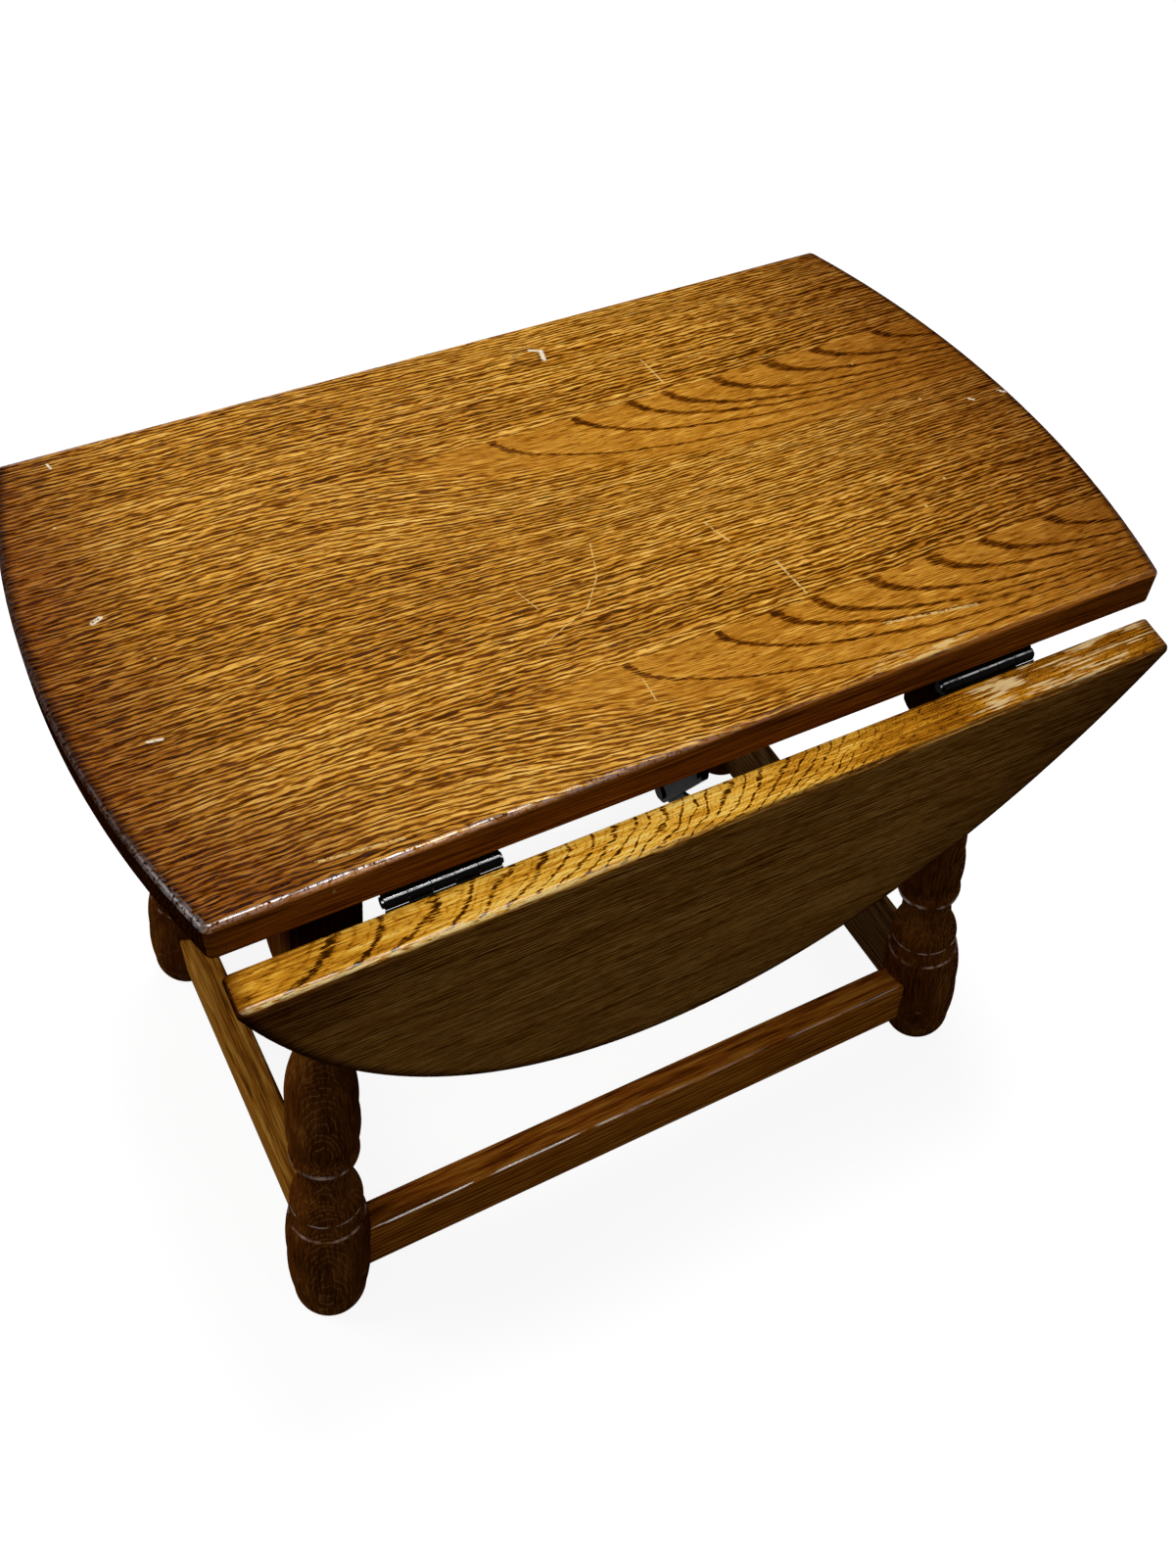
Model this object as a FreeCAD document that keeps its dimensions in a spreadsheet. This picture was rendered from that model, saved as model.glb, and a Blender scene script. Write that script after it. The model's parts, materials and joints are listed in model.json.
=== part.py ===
import FreeCAD, Part
import math
import os
import types
import Sketcher
from FreeCAD import Placement, Rotation, Vector

# Driving dimensions, in millimetres, and angles, in degrees
DIMENSIONS = {
    # oval top and its two leaves
    "table_height": 420,
    "board_thickness": 20,
    "edge_length": 480,
    "end_bow": 23,
    "top_width": 310,
    "joint_gap": 0.6,
    "corner_radius": 4,
    "upper_arris": 3,
    "lower_arris": 1.5,
    "hang_angle": 8.76,
    # splayed legs, where their axes meet the floor: apart along the table, and inside the joint lines
    "foot_span_length": 430,
    "foot_setback": 23.5,
    "splay_angle": 5.7,
    "block_side": 35,
    # turned forms from the floor up: the rise of each above the one before, along the axis, and its radius
    "sole_depth": 6,
    "sole_radius": 12,
    "heel_rise": 14,
    "heel_radius": 21.4,
    "belly_rise": 38,
    "belly_radius": 23.8,
    "foot_rise": 33,
    "foot_radius": 22.2,
    "band_rise": 13,
    "band_radius": 20.5,
    "flare_rise": 13,
    "flare_radius": 17.9,
    "neck_rise": 12,
    "neck_radius": 15.5,
    "land_rise": 12,
    "land_height": 3,
    "land_radius": 15.8,
    "ring_height": 12,
    "ring_radius": 18,
    "quirk_depth": 1.1,
    "vase_rise": 34,
    "vase_radius": 19,
    "throat_rise": 40,
    "throat_radius": 14.4,
    "waist_rise": 44,
    "waist_radius": 12.2,
    "collar_rise": 15,
    "collar_height": 11,
    "collar_radius": 15.2,
    "shoulder_height": 12,
    # aprons under the top
    "apron_height": 58,
    "apron_thickness": 18,
    "tenon_thickness": 9,
    "tenon_height": 34,
    "tenon_length": 12,
    "seat_clearance": 0.15,
    # stretchers housed in the feet
    "stretcher_width": 19,
    "stretcher_height": 43,
    "stretcher_top": 63,
    "stretcher_arris": 2.5,
    "housing_wall": 2,
    # glue blocks
    "glue_block_length": 42,
    "glue_block_side": 18,
    "glue_block_place": 96,
    # butt hinges
    "hinge_place": 141,
    "hinge_length": 53,
    "hinge_plate_width": 27,
    "hinge_plate_thickness": 1.6,
    "hinge_drop": 4.3,
    "barrel_radius": 3.5,
    "knuckle_gap": 0.4,
    "notch_clearance": 0.4,
    "pin_radius": 1.5,
    "pin_cap_radius": 2.6,
    "pin_cap_height": 0.9,
    "running_clearance": 0.05,
    # countersunk screws
    "screw_head_radius": 3.2,
    "screw_head_height": 1.5,
    "screw_shank_radius": 1.6,
    "screw_grip": 11,
    # jointed steel stays
    "stay_place": 8,
    "stay_reach": 70,
    "stay_ear_drop": 10,
    "stay_stand_off": 14,
    "stay_drop": 50,
    "strap_width": 12,
    "strap_thickness": 2,
    "strap_gap": 0.3,
    "stay_base_length": 26,
    "stay_base_width": 16,
    "stay_pin_radius": 2.2,
    "stay_cap_radius": 4,
    "stay_cap_height": 1.2,
    # length by which every cutting tool runs past what it cuts
    "overrun": 5,
}
KNUCKLES = 5
# Screw holes in a hinge plate, as shares of its length and width from the middle of the joint
HINGE_HOLE_SHARES = ((-0.33, 0.52), (0.0, 0.76), (0.33, 0.52))
# Rise of each turned arc as a share of its chord: positive swells, negative hollows
HEEL_SHARE, BELLY_SHARE, BAND_SHARE, FLARE_SHARE, COVE_SHARE = 0.13, 0.035, -0.06, 0.07, -0.09
RING_SHARE, VASE_SHARE, THROAT_SHARE, COLLAR_SHARE, SHOULDER_SHARE = 0.13, 0.05, -0.035, 0.3, 0.2
RIGHT_ANGLE, HALF_TURN, FULL_TURN = 90, 180, 360
FRONT, BACK = Placement(), Placement(Vector(), Rotation(Vector(0, 0, 1), HALF_TURN))
SIDES = {"front": FRONT, "back": BACK}

doc = FreeCAD.newDocument("drop_leaf_table")
sheet = doc.addObject("Spreadsheet::Sheet", "sizes")
pieces = []


class Size:
    """A size as a number, with the spreadsheet expression that gives it."""

    def __init__(self, value, text):
        self.value = value
        self.text = text

    def __add__(self, other):
        other = as_size(other)
        return Size(self.value + other.value, f"({self.text} + {other.text})")

    def __sub__(self, other):
        other = as_size(other)
        return Size(self.value - other.value, f"({self.text} - {other.text})")

    def __mul__(self, other):
        other = as_size(other)
        return Size(self.value * other.value, f"({self.text} * {other.text})")

    def __truediv__(self, other):
        other = as_size(other)
        return Size(self.value / other.value, f"({self.text} / {other.text})")

    def __neg__(self):
        return Size(-self.value, f"(-1 * {self.text})")


def as_size(number):
    return number if isinstance(number, Size) else Size(float(number), f"({float(number)})")


def root(size):
    return Size(math.sqrt(size.value), f"sqrt({size.text})")


def tangent(angle):
    return Size(math.tan(math.radians(angle.value)), f"tan({angle.text})")


def cosine(angle):
    return Size(math.cos(math.radians(angle.value)), f"cos({angle.text})")


def fill_sheet():
    for row, (name, value) in enumerate(DIMENSIONS.items(), 1):
        sheet.set(f"A{row}", name)
        sheet.set(f"B{row}", str(value))
        sheet.setAlias(f"B{row}", name)
    doc.recompute()
    sizes = {name: Size(float(sheet.get(name)), f"sizes.{name}") for name in DIMENSIONS}
    return types.SimpleNamespace(**sizes)


def bind(thing, name, size):
    thing.setExpression(name, as_size(size).text)


def place(thing, point):
    for axis, size in zip("xyz", point):
        bind(thing, f"Placement.Base.{axis}", size)


def around(middle, half):
    return middle - half, middle + half


def mirrored(span, sign):
    low, high = span
    return (low, high) if sign > 0 else (-high, -low)


def box(name, *spans):
    solid = doc.addObject("Part::Box", name)
    for side, (low, high) in zip(("Length", "Width", "Height"), spans):
        bind(solid, side, high - low)
    place(solid, [low for low, high in spans])
    return solid


def rod(name, start, axis, length, radius):
    solid = doc.addObject("Part::Cylinder", name)
    solid.Placement = Placement(Vector(), Rotation(Vector(0, 0, 1), axis))
    bind(solid, "Radius", radius)
    bind(solid, "Height", length)
    place(solid, start)
    return solid


def taper(name, start, axis, length, radius, end_radius):
    solid = doc.addObject("Part::Cone", name)
    solid.Placement = Placement(Vector(), Rotation(Vector(0, 0, 1), axis))
    bind(solid, "Radius1", radius)
    bind(solid, "Radius2", end_radius)
    bind(solid, "Height", length)
    place(solid, start)
    return solid


def fuse(name, solids):
    joined = doc.addObject("Part::MultiFuse", name)
    joined.Shapes = solids
    joined.Refine = True
    return joined


def cut(name, base, tools):
    result = doc.addObject("Part::Cut", name)
    result.Base = base
    result.Tool = tools[0] if len(tools) == 1 else fuse(name + "_tools", tools)
    return result


def common(name, base, tool):
    result = doc.addObject("Part::Common", name)
    result.Base = base
    result.Tool = tool
    return result


def group(name, solids):
    result = doc.addObject("Part::Compound", name)
    result.Links = solids
    return result


def keep(piece, label, placement=FRONT):
    piece.Label = label
    piece.Placement = placement.multiply(piece.Placement)
    pieces.append(piece)
    return piece


def body_on(name, base):
    body = doc.addObject("PartDesign::Body", name)
    body.BaseFeature = base
    doc.recompute()
    return body


def origin_plane(body, role):
    return next(plane for plane in body.Origin.OriginFeatures if plane.Role == role)


def new_sketch(body, name, role, lift=None):
    sketch = body.newObject("Sketcher::SketchObject", name)
    sketch.AttachmentSupport = (origin_plane(body, role), [""])
    sketch.MapMode = "FlatFace"
    if lift is not None:
        bind(sketch, "AttachmentOffset.Base.z", lift)
    return sketch


def draw_outline(sketch, corners):
    """Draw a closed outline of (across, up, rise share of the stretch that leads to the next corner)."""
    points = [Vector(across.value, up.value, 0) for across, up, rise_share in corners]
    for index, (across, up, rise_share) in enumerate(corners):
        following = (index + 1) % len(corners)
        start, end = points[index], points[following]
        if rise_share == 0:
            sketch.addGeometry(Part.LineSegment(start, end))
            continue
        chord = end - start
        outward = Vector(chord.y, -chord.x, 0)
        middle = (start + end) * 0.5 + outward * rise_share
        sketch.addGeometry(Part.Arc(start, middle, end))
        step_across, step_up = corners[following][0] - across, corners[following][1] - up
        bend_share = 1 / (8 * abs(rise_share)) + abs(rise_share) / 2
        radius = root(step_across * step_across + step_up * step_up) * bend_share
        name_constraint(sketch, Sketcher.Constraint("Radius", index, radius.value), radius)
    for index, (across, up, rise_share) in enumerate(corners):
        start_end = end_nearest(sketch, index, points[index])
        previous = index - 1 if index else len(corners) - 1
        previous_end = end_nearest(sketch, previous, points[index])
        sketch.addConstraint(Sketcher.Constraint("Coincident", previous, previous_end, index, start_end))
        hold_point(sketch, index, start_end, across, up)


def end_nearest(sketch, index, point):
    return min((1, 2), key=lambda end: sketch.getPoint(index, end).distanceToPoint(point))


def hold_point(sketch, index, end, across, up):
    for kind, size, axis in (("DistanceX", across, -2), ("DistanceY", up, -1)):
        if size.value == 0:
            sketch.addConstraint(Sketcher.Constraint("PointOnObject", index, end, axis))
        else:
            name_constraint(sketch, Sketcher.Constraint(kind, -1, 1, index, end, size.value), size)


def name_constraint(sketch, constraint, size):
    number = sketch.addConstraint(constraint)
    sketch.setExpression(f"Constraints[{number}]", size.text)


def round_edges(body, name, radius, chosen):
    base = body.Tip
    names = [f"Edge{number}" for number, edge in enumerate(base.Shape.Edges, 1) if chosen(edge.BoundBox)]
    rounding = body.newObject("PartDesign::Fillet", name)
    rounding.Base = (base, names)
    bind(rounding, "Radius", radius)
    doc.recompute()


d = fill_sheet()
none = d.overrun - d.overrun
half_edge = d.edge_length / 2
half_width = d.top_width / 2
oval_half_length = half_edge + d.end_bow
edge_share = half_edge / oval_half_length
oval_half_width = half_width / root(as_size(1) - edge_share * edge_share)
underside = d.table_height - d.board_thickness
hinge_height = underside - d.hinge_drop
lean = tangent(d.splay_angle)
block_reach = d.block_side / 2 / cosine(d.splay_angle)
apron_middle = underside - d.apron_height / 2
stretcher_middle = d.stretcher_top - d.stretcher_height / 2


def leg_across(up):
    return d.foot_span_length / 2 - lean * up


def leg_deep(up):
    return half_width - d.foot_setback - lean * up


hinge_axis_point = Vector(0, -half_width.value, hinge_height.value)
HANG = Placement(Vector(), Rotation(Vector(1, 0, 0), RIGHT_ANGLE + d.hang_angle.value), hinge_axis_point)


def make_boards():
    """Saw one oval board into the top and its two leaves."""
    oval = doc.addObject("Part::Ellipse", "oval")
    bind(oval, "MajorRadius", oval_half_width)
    bind(oval, "MinorRadius", oval_half_length)
    oval.Placement = Placement(Vector(), Rotation(Vector(0, 0, 1), RIGHT_ANGLE))
    place(oval, (none, none, underside))
    board = doc.addObject("Part::Extrusion", "oval_board")
    board.Base = oval
    board.DirMode = "Custom"
    board.Dir = Vector(0, 0, 1)
    board.Solid = True
    bind(board, "LengthFwd", d.board_thickness)
    across = around(none, oval_half_length + d.overrun)
    through = (underside - d.overrun, d.table_height + d.overrun)
    saw_line = half_width + d.joint_gap / 2
    middle = box("top_saw_cuts", across, around(none, half_width - d.joint_gap / 2), through)
    keep(make_board("top", common("top_blank", board, middle)), "top_panel")
    for side, turn in SIDES.items():
        outside = box(f"{side}_saw_cut", across, (-oval_half_width - d.overrun, -saw_line), through)
        leaf = make_board(f"{side}_leaf", common(f"{side}_leaf_blank", board, outside))
        keep(leaf, f"leaf_{side}", turn.multiply(HANG))


def make_board(name, blank):
    body = body_on(name, blank)
    tall = d.board_thickness.value - d.lower_arris.value
    high = d.table_height.value - d.lower_arris.value / 2
    low = underside.value + d.lower_arris.value / 2
    round_edges(body, f"{name}_corners", d.corner_radius, lambda bounds: bounds.ZLength > tall)
    round_edges(body, f"{name}_upper_arris", d.upper_arris, lambda bounds: bounds.ZMin > high)
    round_edges(body, f"{name}_lower_arris", d.lower_arris, lambda bounds: bounds.ZMax < low)
    return body


# Heights of the turned forms along the leg's axis
belly_height = d.heel_rise + d.belly_rise
foot_height = belly_height + d.foot_rise
band_height = foot_height + d.band_rise
flare_height = band_height + d.flare_rise
neck_height = flare_height + d.neck_rise
land_start = neck_height + d.land_rise
ring_start = land_start + d.land_height
ring_end = ring_start + d.ring_height
vase_height = ring_end + d.vase_rise
throat_height = vase_height + d.throat_rise
waist_height = throat_height + d.waist_rise
collar_start = waist_height + d.collar_rise
collar_end = collar_start + d.collar_height
block_start = collar_end + d.quirk_depth


def turned_outline():
    """Half a leg's outline, up to its square block, with crisp steps beside the band, ring and vase."""
    step = d.quirk_depth
    return [
        (none, -d.sole_depth, 0),
        (d.sole_radius, -d.sole_depth, HEEL_SHARE),
        (d.heel_radius, d.heel_rise, BELLY_SHARE),
        (d.belly_radius, belly_height, BELLY_SHARE),
        (d.foot_radius, foot_height, 0),
        (d.foot_radius - step, foot_height + step / 2, BAND_SHARE),
        (d.band_radius - step, band_height - step / 2, 0),
        (d.band_radius, band_height, FLARE_SHARE),
        (d.flare_radius, flare_height, COVE_SHARE),
        (d.neck_radius, neck_height, COVE_SHARE),
        (d.land_radius, land_start, 0),
        (d.land_radius, ring_start, 0),
        (d.land_radius + step, ring_start, RING_SHARE),
        (d.ring_radius + step / 2, ring_end, 0),
        (d.ring_radius, ring_end + step, VASE_SHARE),
        (d.vase_radius, vase_height, VASE_SHARE),
        (d.throat_radius, throat_height, THROAT_SHARE),
        (d.waist_radius, waist_height, COVE_SHARE),
        (d.collar_radius, collar_start, COLLAR_SHARE),
        (d.collar_radius, collar_end, 0),
        (d.collar_radius - step, block_start, 0),
        (none, block_start, 0),
    ]


def make_leg(name, sign_across, sign_deep):
    body = doc.addObject("PartDesign::Body", name + "_turning")
    outline = new_sketch(body, name + "_profile", "XZ_Plane")
    draw_outline(outline, turned_outline())
    turning = body.newObject("PartDesign::Revolution", name + "_turned")
    turning.Profile = outline
    turning.ReferenceAxis = (outline, ["V_Axis"])
    turning.Angle = FULL_TURN
    half_side = d.block_side / 2
    square = new_sketch(body, name + "_square", "XY_Plane", block_start)
    draw_outline(square, [(-half_side, -half_side, 0), (half_side, -half_side, 0),
                          (half_side, half_side, 0), (-half_side, half_side, 0)])
    block = body.newObject("PartDesign::Pad", name + "_block")
    block.Profile = square
    bind(block, "Length", underside / cosine(d.splay_angle) - block_start + d.overrun)
    doc.recompute()
    squared_volume = block.Shape.Volume
    shoulder_start = d.collar_radius - d.quirk_depth
    shoulder_end = half_side * root(as_size(2)) + d.quirk_depth
    shoulder = new_sketch(body, name + "_shoulder", "XZ_Plane")
    draw_outline(shoulder, [
        (shoulder_start, block_start, SHOULDER_SHARE),
        (shoulder_end, block_start + d.shoulder_height, 0),
        (shoulder_end + d.overrun, block_start + d.shoulder_height, 0),
        (shoulder_end + d.overrun, block_start, 0),
    ])
    rounding = body.newObject("PartDesign::Groove", name + "_lamb_tongue")
    rounding.Profile = shoulder
    rounding.ReferenceAxis = (shoulder, ["V_Axis"])
    rounding.Angle = FULL_TURN
    doc.recompute()
    assert rounding.Shape.Volume < squared_volume, "the shoulder groove cut nothing"
    upward = Vector(-sign_across * lean.value, -sign_deep * lean.value, 1)
    body.Placement = Placement(Vector(), Rotation(Vector(0, 0, 1), upward))
    place(body, (leg_across(none) * sign_across, leg_deep(none) * sign_deep, none))
    slab_reach = d.foot_span_length
    slab = box(name + "_level_cuts", around(none, slab_reach), around(none, slab_reach), (none, underside))
    level_leg = common(name + "_level", body, slab)
    return cut(name + "_leg", level_leg, mortises(name, sign_across, sign_deep))


def mortises(name, sign_across, sign_deep):
    """Sockets for two apron tenons and two stretchers."""
    spare = d.seat_clearance
    leg_x, leg_y = leg_across(apron_middle), leg_deep(apron_middle)
    tenon_up = around(apron_middle, d.tenon_height / 2 + spare)
    tenon_thick = d.tenon_thickness / 2 + spare
    tenon_deep = d.tenon_length + spare
    foot_x, foot_y = leg_across(stretcher_middle), leg_deep(stretcher_middle)
    bar_up = around(stretcher_middle, d.stretcher_height / 2 + spare)
    bar_thick = d.stretcher_width / 2 + spare
    bar_stop = d.stretcher_width / 2 + d.housing_wall - spare
    long_tenon = (leg_x - block_reach - d.overrun, leg_x - block_reach + tenon_deep)
    end_tenon = (leg_y - block_reach - d.overrun, leg_y - block_reach + tenon_deep)
    long_bar = (foot_x - d.belly_radius - d.overrun, foot_x - bar_stop)
    end_bar = (foot_y - d.belly_radius - d.overrun, foot_y - bar_stop)
    sockets = {
        "long_apron": (long_tenon, around(leg_y, tenon_thick), tenon_up),
        "end_apron": (around(leg_x, tenon_thick), end_tenon, tenon_up),
        "long_stretcher": (long_bar, around(foot_y, bar_thick), bar_up),
        "end_stretcher": (around(foot_x, bar_thick), end_bar, bar_up),
    }
    return [box(f"{name}_{socket}", mirrored(x_span, sign_across), mirrored(y_span, sign_deep), z_span)
            for socket, (x_span, y_span, z_span) in sockets.items()]


def make_apron(name, role, top_half, bottom_half, middle_half):
    """A board with slanting shoulders, to suit the splay, and a stub tenon at each end."""
    body = doc.addObject("PartDesign::Body", name)
    face = new_sketch(body, name + "_face", role)
    low = underside - d.apron_height
    draw_outline(face, [(-bottom_half, low, 0), (bottom_half, low, 0),
                        (top_half, underside, 0), (-top_half, underside, 0)])
    board = body.newObject("PartDesign::Pad", name + "_board")
    board.Profile = face
    board.Midplane = True
    bind(board, "Length", d.apron_thickness)
    tenon = new_sketch(body, name + "_tenon", role)
    tenon_end = middle_half + d.tenon_length
    tenon_low, tenon_high = around(apron_middle, d.tenon_height / 2)
    draw_outline(tenon, [(-tenon_end, tenon_low, 0), (tenon_end, tenon_low, 0),
                         (tenon_end, tenon_high, 0), (-tenon_end, tenon_high, 0)])
    tongue = body.newObject("PartDesign::Pad", name + "_tongue")
    tongue.Profile = tenon
    tongue.Midplane = True
    bind(tongue, "Length", d.tenon_thickness)
    return body


def make_aprons():
    low = underside - d.apron_height
    inset = block_reach + d.seat_clearance
    for name, sign in (("front", -1), ("back", 1)):
        board = make_apron(f"{name}_apron", "XZ_Plane", leg_across(underside) - inset,
                           leg_across(low) - inset, leg_across(apron_middle) - inset)
        place(board, (none, leg_deep(apron_middle) * sign, none))
        keep(board, f"apron_{name}")
    for name, sign in (("left", -1), ("right", 1)):
        board = make_apron(f"{name}_apron", "YZ_Plane", leg_deep(underside) - inset,
                           leg_deep(low) - inset, leg_deep(apron_middle) - inset)
        place(board, (leg_across(apron_middle) * sign, none, none))
        keep(board, f"apron_{name}")


def make_stretcher(label, role, half_length, along):
    """A straight bar with softened arrises, centred on its leg axes."""
    body = doc.addObject("PartDesign::Body", label + "_body")
    section = new_sketch(body, label + "_section", role)
    half = d.stretcher_width / 2
    low, high = d.stretcher_top - d.stretcher_height, d.stretcher_top
    draw_outline(section, [(-half, low, 0), (half, low, 0), (half, high, 0), (-half, high, 0)])
    bar = body.newObject("PartDesign::Pad", label + "_bar")
    bar.Profile = section
    bar.Midplane = True
    bind(bar, "Length", half_length * 2)
    doc.recompute()
    long_enough = d.stretcher_height.value + d.stretcher_width.value
    round_edges(body, label + "_arrises", d.stretcher_arris,
                lambda bounds: getattr(bounds, along) > long_enough)
    return keep(body, label)


def make_stretchers():
    foot_x, foot_y = leg_across(stretcher_middle), leg_deep(stretcher_middle)
    stop = d.stretcher_width / 2 + d.housing_wall
    for name, sign in (("front", -1), ("back", 1)):
        bar = make_stretcher(f"stretcher_{name}", "YZ_Plane", foot_x - stop, "XLength")
        place(bar, (none, foot_y * sign, none))
    for name, sign in (("left", -1), ("right", 1)):
        bar = make_stretcher(f"stretcher_{name}", "XZ_Plane", foot_y - stop, "YLength")
        place(bar, (foot_x * sign, none, none))


def screw(name, start, axis, length):
    """A countersunk screw whose head's face is at start."""
    head = taper(name + "_head", start, axis, d.screw_head_height,
                 d.screw_head_radius, d.screw_shank_radius)
    return fuse(name, [head, rod(name + "_shank", start, axis, length, d.screw_shank_radius)])


def screw_hole(name, start, axis, length):
    spare = d.running_clearance
    sink = taper(name + "_sink", start, axis, d.screw_head_height,
                 d.screw_head_radius + spare, d.screw_shank_radius + spare)
    return [sink, rod(name + "_drill", start, axis, length, d.screw_shank_radius + spare)]


UP, ALONG, INWARD = Vector(0, 0, 1), Vector(1, 0, 0), Vector(0, 1, 0)


def make_glue_blocks():
    screws = []
    face = leg_deep(apron_middle) - d.apron_thickness / 2
    low = underside - d.glue_block_side
    for side, turn in SIDES.items():
        for name, sign in (("left", -1), ("right", 1)):
            title = f"{side}_{name}_block"
            across = around(d.glue_block_place * sign, d.glue_block_length / 2)
            blank = box(title + "_blank", across, (-face, d.glue_block_side - face), (low, underside))
            start = (d.glue_block_place * sign, d.glue_block_side / 2 - face, low)
            hole = screw_hole(title + "_hole", start, UP, d.glue_block_side + d.overrun)
            drilled = cut(title, blank, hole)
            keep(drilled, f"glue_block_{side}_{name}", turn)
            fixing = screw(title + "_screw", start, UP, d.glue_block_side + d.screw_grip)
            fixing.Placement = turn
            screws.append(fixing)
    keep(group("block_screws", screws), "glue_block_screws")


def knuckle_start(middle, number):
    return middle - d.hinge_length / 2 + d.hinge_length / KNUCKLES * number


def make_hinge_plate(name, middle, inner_edge, outer_edge, own, holes):
    """One plate of a butt hinge, built with the leaf level: flat, rolled knuckles, notches and holes."""
    pitch = d.hinge_length / KNUCKLES
    high, low = underside, underside - d.hinge_plate_thickness
    flat = box(name + "_flat", around(middle, d.hinge_length / 2), (inner_edge, outer_edge), (low, high))
    notches = [
        rod(f"{name}_notch_{number}", (knuckle_start(middle, number), -half_width, hinge_height), ALONG,
            pitch, d.barrel_radius + d.notch_clearance)
        for number in range(KNUCKLES) if number not in own]
    rolls = [
        rod(f"{name}_knuckle_{number}",
            (knuckle_start(middle, number) + d.knuckle_gap / 2, -half_width, hinge_height), ALONG,
            pitch - d.knuckle_gap, d.barrel_radius)
        for number in own]
    notched = cut(name + "_notched", flat, notches)
    rolled = fuse(name + "_rolled", [notched, *rolls])
    bore = rod(name + "_bore", (middle - d.hinge_length / 2 - d.overrun, -half_width, hinge_height), ALONG,
               d.hinge_length + d.overrun * 2, d.pin_radius + d.running_clearance)
    drills = []
    for number, point in enumerate(holes):
        drills += screw_hole(f"{name}_hole_{number}", point, UP, d.hinge_plate_thickness + d.overrun)
    return cut(name, rolled, [bore, *drills])


def make_hinges():
    top_screws = []
    gap = d.joint_gap / 2
    low = underside - d.hinge_plate_thickness
    for side, turn in SIDES.items():
        leaf_screws = []
        for name, sign in (("left", -1), ("right", 1)):
            title = f"{side}_{name}_hinge"
            middle = d.hinge_place * sign
            places = [(d.hinge_length * along_share, d.hinge_plate_width * away_share)
                      for along_share, away_share in HINGE_HOLE_SHARES]
            top_holes = [(middle + along, away - half_width, low) for along, away in places]
            leaf_holes = [(middle + along, -half_width - away, low) for along, away in places]
            top_plate = make_hinge_plate(title + "_top", middle, gap - half_width,
                                         d.hinge_plate_width - half_width, range(0, KNUCKLES, 2), top_holes)
            leaf_plate = make_hinge_plate(title + "_leaf", middle, -half_width - d.hinge_plate_width,
                                          -half_width - gap, range(1, KNUCKLES, 2), leaf_holes)
            keep(top_plate, f"hinge_top_plate_{side}_{name}", turn)
            keep(leaf_plate, f"hinge_leaf_plate_{side}_{name}", turn.multiply(HANG))
            keep(make_hinge_pin(title, middle), f"hinge_pin_{side}_{name}", turn)
            for number in range(len(places)):
                length = d.hinge_plate_thickness + d.screw_grip
                top_screw = screw(f"{title}_top_screw_{number}", top_holes[number], UP, length)
                top_screw.Placement = turn
                top_screws.append(top_screw)
                leaf_screws.append(screw(f"{title}_leaf_screw_{number}", leaf_holes[number], UP, length))
        keep(group(f"{side}_leaf_screws", leaf_screws), f"hinge_screws_leaf_{side}", turn.multiply(HANG))
    keep(group("top_screws", top_screws), "hinge_screws_top")


def capped_pin(name, start, length, radius, cap_radius, cap_height):
    """A pin along the table with a cap beyond each end of its length."""
    x, y, z = start
    shaft = rod(name + "_shaft", start, ALONG, length, radius)
    near_cap = rod(name + "_near_cap", (x - cap_height, y, z), ALONG, cap_height, cap_radius)
    far_cap = rod(name + "_far_cap", (x + length, y, z), ALONG, cap_height, cap_radius)
    return fuse(name, [shaft, near_cap, far_cap])


def make_hinge_pin(title, middle):
    start = (middle - d.hinge_length / 2, -half_width, hinge_height)
    return capped_pin(title + "_pin", start, d.hinge_length,
                      d.pin_radius, d.pin_cap_radius, d.pin_cap_height)


# Pivots of the front stay with the leaf level, outward from the joint and down from the underside
apron_face = leg_deep(apron_middle) + d.apron_thickness / 2
stay_apron_out = apron_face + d.stay_stand_off - half_width
stay_pitch = d.strap_thickness + d.strap_gap
stay_run = d.stay_reach - stay_apron_out
stay_rise = d.stay_drop - d.stay_ear_drop
link_length = root(stay_run * stay_run + stay_rise * stay_rise) / 2
stay_pin_hole = d.stay_pin_radius + d.running_clearance


def outward_down(out, down):
    return Vector(0, -half_width.value - out, underside.value - down)


def stay_points():
    """Pivots of the folded stay at rest: apron pivot, leaf pivot and the knuckle below them."""
    apron_pivot = outward_down(stay_apron_out.value, d.stay_drop.value)
    leaf_pivot = HANG.multVec(outward_down(d.stay_reach.value, d.stay_ear_drop.value))
    base = leaf_pivot - apron_pivot
    height = math.sqrt(link_length.value ** 2 - base.Length ** 2 / 4)
    downward = Vector(0, base.z, -base.y).normalize()
    if downward.z > 0:
        downward = -downward
    return apron_pivot, leaf_pivot, apron_pivot + base * 0.5 + downward * height


def make_link(name, layer):
    """A flat strap with round ends, from its pivot at the origin to its knuckle end along Y."""
    side = stay_pitch * layer + d.stay_place
    flat = (side, side + d.strap_thickness)
    half = d.strap_width / 2
    strap = box(name + "_strap", flat, (none, link_length), around(none, half))
    ends = [rod(f"{name}_{end}_end", (side, along, none), ALONG, d.strap_thickness, half)
            for end, along in (("pivot", none), ("knuckle", link_length))]
    holes = [rod(f"{name}_{end}_hole", (side - d.overrun, along, none), ALONG,
                 d.strap_thickness + d.overrun * 2, stay_pin_hole)
             for end, along in (("pivot", none), ("knuckle", link_length))]
    return cut(name, fuse(name + "_blank", [strap, *ends]), holes)


def along_link(start, end):
    return Placement(start, Rotation(Vector(0, 1, 0), end - start))


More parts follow.
